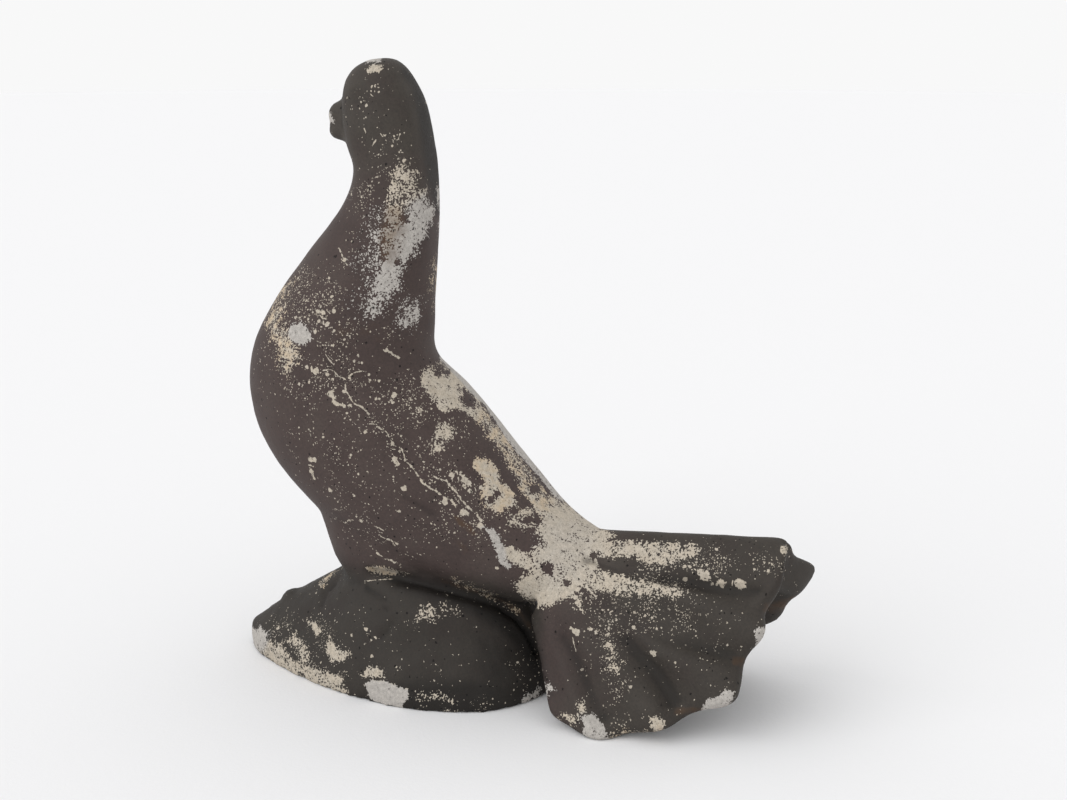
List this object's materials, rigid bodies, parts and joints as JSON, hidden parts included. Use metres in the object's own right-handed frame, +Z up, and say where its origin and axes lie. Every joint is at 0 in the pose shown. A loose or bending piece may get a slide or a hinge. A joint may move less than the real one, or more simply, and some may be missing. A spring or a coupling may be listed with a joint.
{
  "type": "dove statue",
  "caption": "Upright garden dove with a fanned, drooping tail, cast in one with a low leaf-shaped mound, in worn dark paint over cement.",
  "frame": {"origin": "middle of the mound's flat underside, on the ground", "axes": "+Z up, the dove faces -Y, its left side is +X"},
  "size_m": [0.1023, 0.2724, 0.2832],
  "materials": {
    "painted_cement": "flat dark umber paint worn through to a cream undercoat and light grey cast cement"
  },
  "bodies": {
    "root": {"dove_statue": "painted_cement"}
  },
  "joints": []
}
